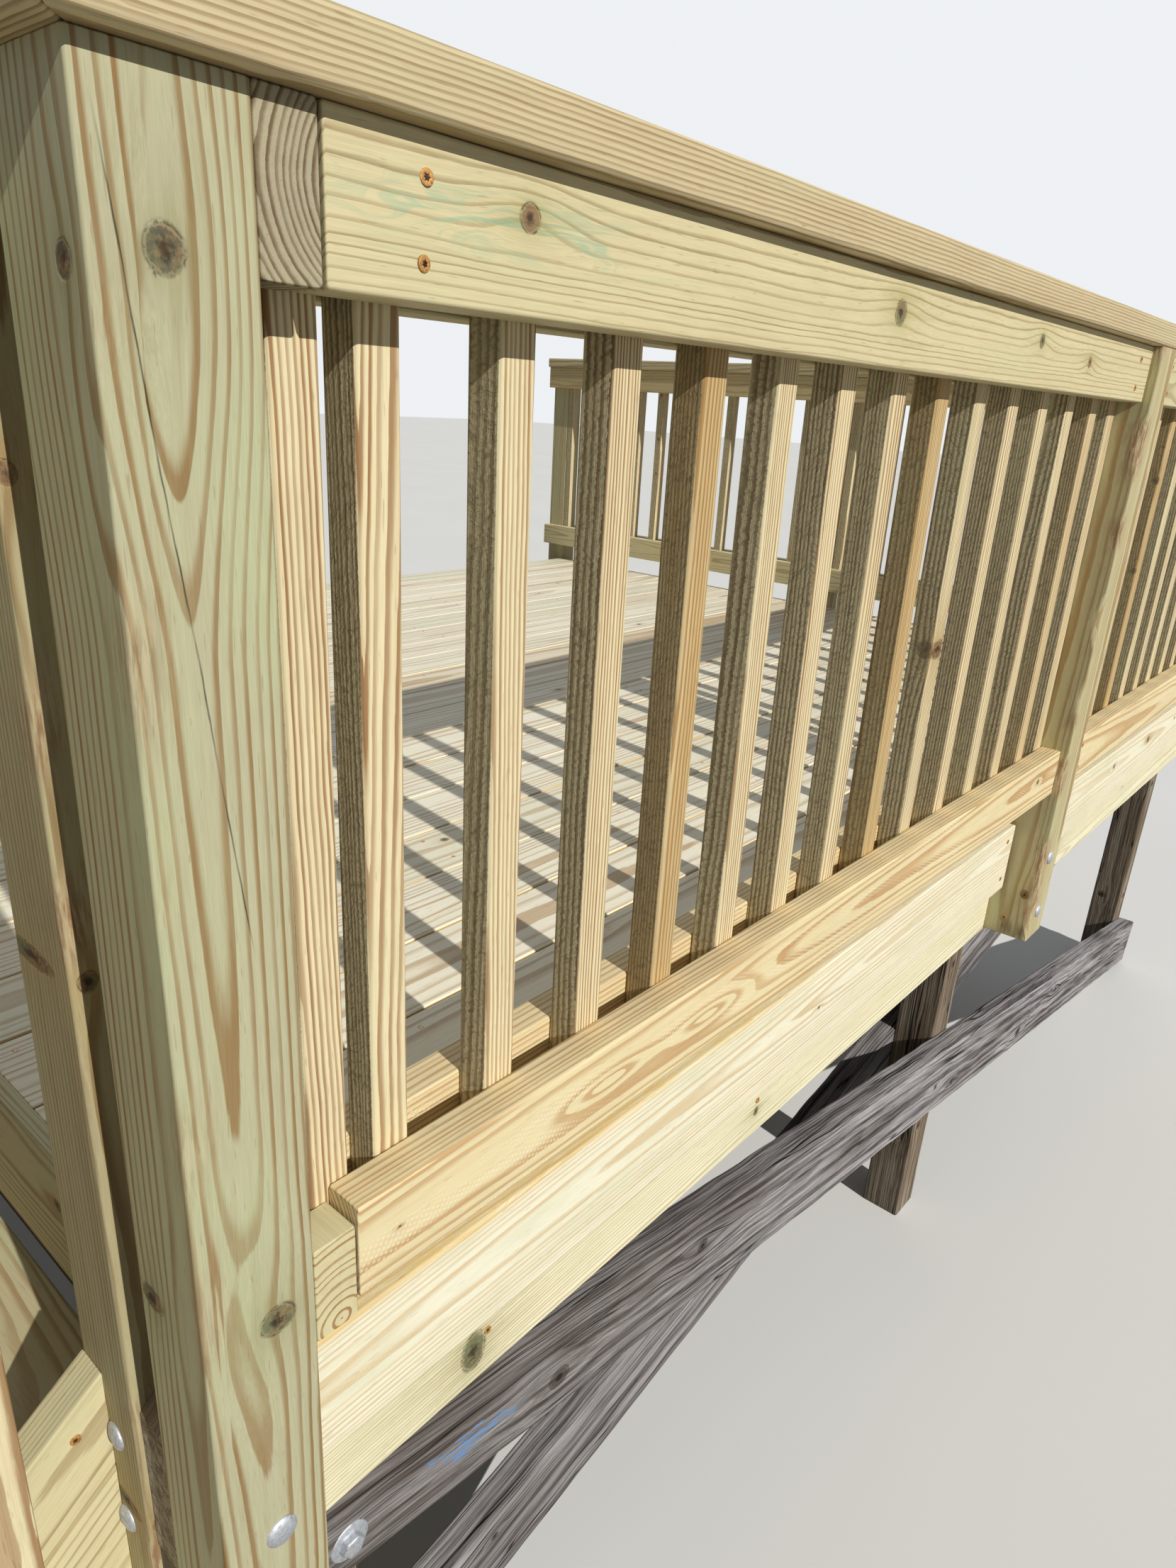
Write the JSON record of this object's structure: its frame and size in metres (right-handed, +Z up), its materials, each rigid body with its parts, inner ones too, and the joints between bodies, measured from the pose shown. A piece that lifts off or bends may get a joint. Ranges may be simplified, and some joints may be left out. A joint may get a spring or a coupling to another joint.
{
  "type": "raised wooden deck with stairs",
  "caption": "Raised timber deck on posts with a sandwich-built baluster guard, flat cap boards, flat cross braces and an open stair at one end.",
  "frame": {"origin": "centre of the plan of the whole deck and stair, at ground level", "axes": "+X along the deck front away from the stair, +Y inward from the front to the rear, +Z up"},
  "size_m": [4.973, 3.036, 2.018],
  "materials": {
    "new_pine": "dressed treated pine, bare",
    "sawn_pine": "sawn treated pine, bare",
    "old_timber": "weathered grey rough timber"
  },
  "bodies": {
    "root": {"decking": "new_pine", "joists": "old_timber", "joist_blocks": "old_timber", "rim_front": "old_timber", "rim_back": "old_timber", "fascia_upper_front": "new_pine", "fascia_lower_front": "new_pine", "fascia_lower_back": "new_pine", "fascia_upper_right": "new_pine", "fascia_lower_right": "new_pine", "fascia_stair_end": "new_pine", "post_corner": "new_pine", "post_front_mid": "new_pine", "post_front_right": "new_pine", "post_right_mid": "new_pine", "post_back_right": "new_pine", "post_back_left": "new_pine", "newel_front": "new_pine", "newel_rear": "new_pine", "foot_newel_front": "new_pine", "foot_newel_rear": "new_pine", "support_front_left": "old_timber", "support_front_mid": "old_timber", "support_front_right": "old_timber", "support_back_left": "old_timber", "support_back_mid": "old_timber", "support_back_right": "old_timber", "brace_front_outer": "old_timber", "brace_front_inner": "old_timber", "brace_back_outer": "old_timber", "brace_back_inner": "old_timber", "rails_top_front": "new_pine", "rails_bottom_front": "new_pine", "rails_top_right": "new_pine", "rails_bottom_right": "new_pine", "rails_top_left": "new_pine", "rails_bottom_left": "new_pine", "spacer_top": "new_pine", "spacer_bottom": "new_pine", "balusters_front": "sawn_pine", "balusters_right": "sawn_pine", "balusters_left": "sawn_pine", "balusters_stair_front": "sawn_pine", "balusters_stair_rear": "sawn_pine", "cap_front": "new_pine", "cap_right": "new_pine", "cap_corner_leg": "new_pine", "cap_left": "new_pine", "cap_stair_front": "new_pine", "cap_stair_rear": "new_pine", "stringer_front": "new_pine", "stringer_rear": "new_pine", "cheek_front": "new_pine", "cheek_rear": "new_pine", "handrail_front": "new_pine", "handrail_rear": "new_pine", "treads": "new_pine", "cleats_front": "sawn_pine", "cleats_rear": "sawn_pine"}
  },
  "joints": []
}
